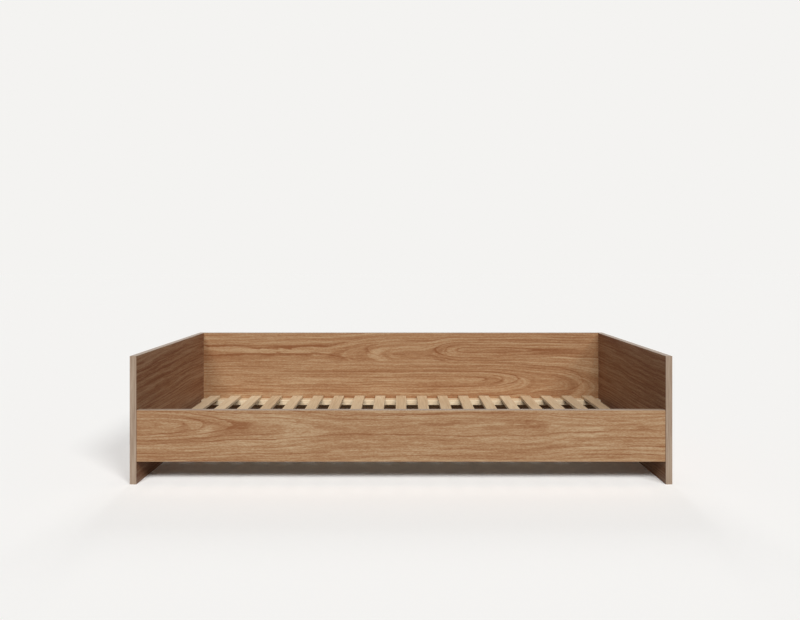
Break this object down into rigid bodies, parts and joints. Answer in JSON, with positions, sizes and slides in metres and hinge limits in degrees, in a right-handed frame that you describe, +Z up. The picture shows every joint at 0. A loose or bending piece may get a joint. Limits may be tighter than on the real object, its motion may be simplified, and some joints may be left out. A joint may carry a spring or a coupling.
{
  "type": "floor bed",
  "caption": "Low child's floor bed with full-height side and back panels, a lower front rail and a slatted base on two ledgers.",
  "frame": {"origin": "on the floor, under the middle of the bed's outer box", "axes": "+X along the bed to the right as seen from its open front, +Y from the front rail to the back panel, +Z up"},
  "size_m": [2.05, 0.953, 0.485],
  "materials": {
    "oak_veneer": "oiled oak veneer on board, satin",
    "edge_band": "oak-coloured edge band, matt",
    "pale_wood": "planed, untreated pale softwood",
    "beech": "turned beech",
    "cam_metal": "die-cast zinc, dull",
    "bolt_steel": "zinc-plated steel",
    "screw_steel": "yellow zinc-plated steel"
  },
  "bodies": {
    "root": {"side_panel_left": "oak_veneer", "side_panel_right": "oak_veneer", "front_rail": "oak_veneer", "back_panel": "oak_veneer", "side_bands_left": "edge_band", "side_bands_right": "edge_band", "front_rail_bands": "edge_band", "back_panel_bands": "edge_band", "ledger_front": "pale_wood", "ledger_rear": "pale_wood", "slat_01": "pale_wood", "slat_02": "pale_wood", "slat_03": "pale_wood", "slat_04": "pale_wood", "slat_05": "pale_wood", "slat_06": "pale_wood", "slat_07": "pale_wood", "slat_08": "pale_wood", "slat_09": "pale_wood", "slat_10": "pale_wood", "slat_11": "pale_wood", "slat_12": "pale_wood", "slat_13": "pale_wood", "slat_14": "pale_wood", "slat_15": "pale_wood", "slat_16": "pale_wood", "slat_17": "pale_wood", "slat_18": "pale_wood", "slat_19": "pale_wood", "cam_locks": "cam_metal", "cam_bolts": "bolt_steel", "dowels": "beech", "slat_screws": "screw_steel", "ledger_screws": "screw_steel"}
  },
  "joints": []
}
